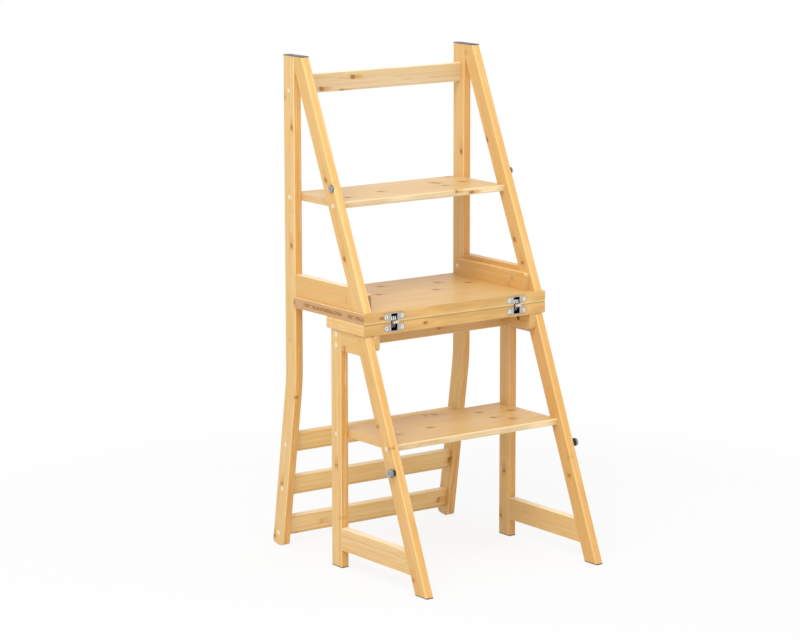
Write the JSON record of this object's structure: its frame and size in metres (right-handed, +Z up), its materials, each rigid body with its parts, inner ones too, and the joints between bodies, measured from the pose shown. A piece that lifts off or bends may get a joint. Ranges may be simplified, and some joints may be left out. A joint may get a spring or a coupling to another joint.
{
  "type": "folding ladder chair",
  "caption": "Wooden chair whose back half folds over on two concealed hinges, shown standing as a small step ladder.",
  "frame": {"origin": "on the floor under the middle of the outer box, standing as the ladder", "axes": "+X along the steps to the user's right when facing the ladder, +Y from the front to the back, +Z up"},
  "size_m": [0.415, 0.4722, 0.9],
  "materials": {
    "bamboo_stock": "clear satin lacquer on pale bamboo strips",
    "bamboo_board": "clear satin lacquer on edge-glued bamboo strips",
    "tenon_wood": "bare beech",
    "felt": "dense grey felt",
    "screw_steel": "zinc plated",
    "hinge_steel": "nickel plated",
    "catch_steel": "satin nickel",
    "black_rubber": "matt black"
  },
  "bodies": {
    "lower_frame": {"left_front_foot_pad": "felt", "left_front_leg": "bamboo_stock", "left_latch_collar": "black_rubber", "left_latch_knob": "catch_steel", "left_lower_apron": "bamboo_stock", "left_lower_cleat": "bamboo_stock", "left_lower_hinge_cup": "hinge_steel", "left_rear_foot_pad": "felt", "left_rear_post": "bamboo_stock", "left_side_stretcher": "bamboo_stock", "lower_cleat_screws": "screw_steel", "lower_frame_screws": "screw_steel", "lower_hinge_pins": "hinge_steel", "lower_hinge_screws": "hinge_steel", "lower_seat_board": "bamboo_board", "lower_step": "bamboo_board", "lower_tenons": "tenon_wood", "rear_seat_rail": "bamboo_stock", "right_front_foot_pad": "felt", "right_front_leg": "bamboo_stock", "right_latch_collar": "black_rubber", "right_latch_knob": "catch_steel", "right_lower_apron": "bamboo_stock", "right_lower_cleat": "bamboo_stock", "right_lower_hinge_cup": "hinge_steel", "right_rear_foot_pad": "felt", "right_rear_post": "bamboo_stock", "right_side_stretcher": "bamboo_stock"},
    "upper_frame": {"left_back_stile": "bamboo_stock", "left_top_pad": "felt", "left_upper_apron": "bamboo_stock", "left_upper_cleat": "bamboo_stock", "left_upper_hinge_cup": "hinge_steel", "left_upper_leg": "bamboo_stock", "left_upper_stud": "catch_steel", "lower_back_slat": "bamboo_stock", "middle_back_slat": "bamboo_stock", "right_back_stile": "bamboo_stock", "right_top_pad": "felt", "right_upper_apron": "bamboo_stock", "right_upper_cleat": "bamboo_stock", "right_upper_hinge_cup": "hinge_steel", "right_upper_leg": "bamboo_stock", "right_upper_stud": "catch_steel", "top_rail": "bamboo_stock", "upper_back_slat": "bamboo_stock", "upper_cleat_screws": "screw_steel", "upper_frame_screws": "screw_steel", "upper_hinge_pins": "hinge_steel", "upper_hinge_screws": "hinge_steel", "upper_seat_board": "bamboo_board", "upper_step": "bamboo_board", "upper_tenons": "tenon_wood"},
    "lower_links": {"hinge_centre_pins": "hinge_steel", "lower_hinge_links": "hinge_steel"},
    "upper_links": {"upper_hinge_links": "hinge_steel"}
  },
  "joints": [
    {"name": "seat_fold", "type": "hinge", "parent": "lower_frame", "child": "upper_frame", "pos_m": [0, -0.06012, 0.45], "axis": [1, 0, 0], "range_deg": [0, 180]},
    {"name": "lower_link_swing", "type": "hinge", "parent": "lower_frame", "child": "lower_links", "pos_m": [0, -0.05712, 0.448], "axis": [1, 0, 0], "range_deg": [0, 79.5]},
    {"name": "upper_link_swing", "type": "hinge", "parent": "upper_frame", "child": "upper_links", "pos_m": [0, -0.05712, 0.452], "axis": [1, 0, 0], "range_deg": [-79.5, 0]}
  ],
  "couplings": [
    {"joint": "lower_link_swing", "follows": "seat_fold", "ratio": 0.4408},
    {"joint": "upper_link_swing", "follows": "seat_fold", "ratio": -0.4408}
  ]
}
